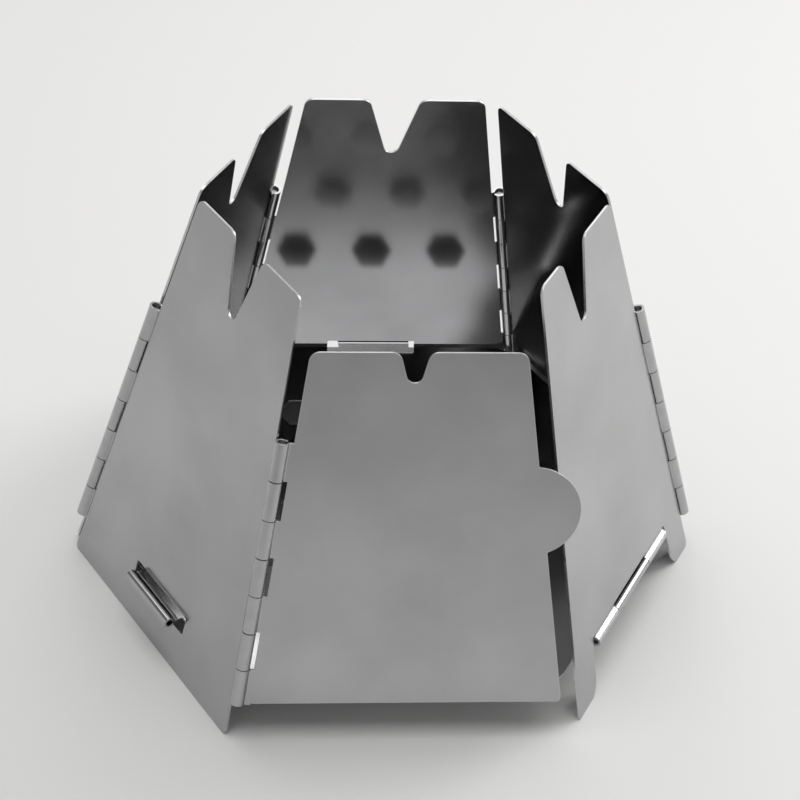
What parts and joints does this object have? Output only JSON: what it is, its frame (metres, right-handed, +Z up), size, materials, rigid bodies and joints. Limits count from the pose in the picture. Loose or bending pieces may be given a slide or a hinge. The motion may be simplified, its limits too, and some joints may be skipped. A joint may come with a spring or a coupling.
{
  "type": "folding wood stove",
  "caption": "Folding hexagonal wood stove of thin steel sheet: leaning hinged panels round a perforated floor, with a side-hinged door.",
  "frame": {"origin": "on the stove's upright centre line, at the level of the ground that its panels stand on", "axes": "+Z up; the door faces -Y; the panel with the two feet and the floor's hinge faces +X and -Y"},
  "size_m": [0.1444, 0.1267, 0.0984],
  "materials": {
    "panel_sheet": "satin",
    "floor_sheet": "satin",
    "hinge_pin": "drawn wire, bright"
  },
  "bodies": {
    "back": {"back_panel": "panel_sheet", "right_back_hinge_pin": "hinge_pin"},
    "left_back": {"left_back_panel": "panel_sheet", "left_back_hinge_pin": "hinge_pin"},
    "left_front": {"left_front_panel": "panel_sheet", "left_front_hinge_pin": "hinge_pin"},
    "door": {"front_door_panel": "panel_sheet", "door_hinge_pin": "hinge_pin"},
    "right_back": {"right_back_panel": "panel_sheet", "right_front_hinge_pin": "hinge_pin"},
    "right_front": {"right_front_panel": "panel_sheet", "floor_hinge_pin": "hinge_pin"},
    "floor": {"floor_plate": "floor_sheet"}
  },
  "joints": [
    {"name": "door_hinge", "type": "hinge", "parent": "left_front", "child": "door", "pos_m": [-0.03089, -0.0535, 0.03873], "axis": [-0.1429, -0.2474, -0.9583], "range_deg": [0, 200]},
    {"name": "left_front_fold", "type": "hinge", "parent": "left_back", "child": "left_front", "pos_m": [-0.06178, 0, 0.03873], "axis": [-0.2857, 0, -0.9583], "range_deg": [0, 150]},
    {"name": "left_back_fold", "type": "hinge", "parent": "back", "child": "left_back", "pos_m": [-0.03089, 0.0535, 0.03873], "axis": [-0.1429, 0.2474, -0.9583], "range_deg": [0, 60]},
    {"name": "right_back_fold", "type": "hinge", "parent": "back", "child": "right_back", "pos_m": [0.03089, 0.0535, 0.03873], "axis": [-0.1429, -0.2474, 0.9583], "range_deg": [0, 9.75]},
    {"name": "right_front_fold", "type": "hinge", "parent": "right_back", "child": "right_front", "pos_m": [0.06178, 0, 0.03873], "axis": [-0.2857, 0, 0.9583], "range_deg": [0, 8.25]},
    {"name": "floor_fold", "type": "hinge", "parent": "right_front", "child": "floor", "pos_m": [0.05242, -0.03027, 0.0115], "axis": [0.5, 0.866, 0], "range_deg": [0, 4.5]}
  ],
  "couplings": [
    {"joint": "left_back_fold", "follows": "left_front_fold", "ratio": 0.4},
    {"joint": "right_back_fold", "follows": "left_front_fold", "ratio": 0.065},
    {"joint": "right_front_fold", "follows": "left_front_fold", "ratio": 0.055},
    {"joint": "floor_fold", "follows": "left_front_fold", "ratio": 0.03}
  ]
}
